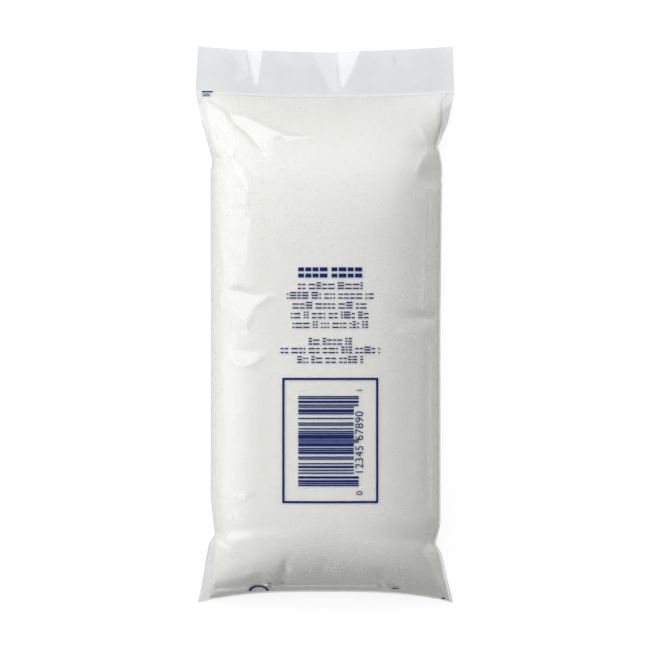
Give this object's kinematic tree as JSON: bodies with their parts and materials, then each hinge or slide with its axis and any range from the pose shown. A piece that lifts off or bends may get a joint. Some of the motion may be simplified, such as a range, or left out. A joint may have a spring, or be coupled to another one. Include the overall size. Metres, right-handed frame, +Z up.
{
  "type": "bag of sugar",
  "caption": "Clear film pillow bag of white granulated sugar, lying on its back, with a flat sealed header band and a folded bottom seal.",
  "frame": {"origin": "under the middle of the bag, on the surface that it lies on", "axes": "+Z up out of the printed face, +Y along the bag to the header band, +X to the right as seen from above"},
  "size_m": [0.117, 0.252, 0.033],
  "materials": {
    "film": "clear glossy polyethylene film over white sugar",
    "sugar": "fine white crystals",
    "ink": "blue ink printed on the film"
  },
  "bodies": {
    "root": {"sugar_bag": "film"}
  },
  "joints": []
}
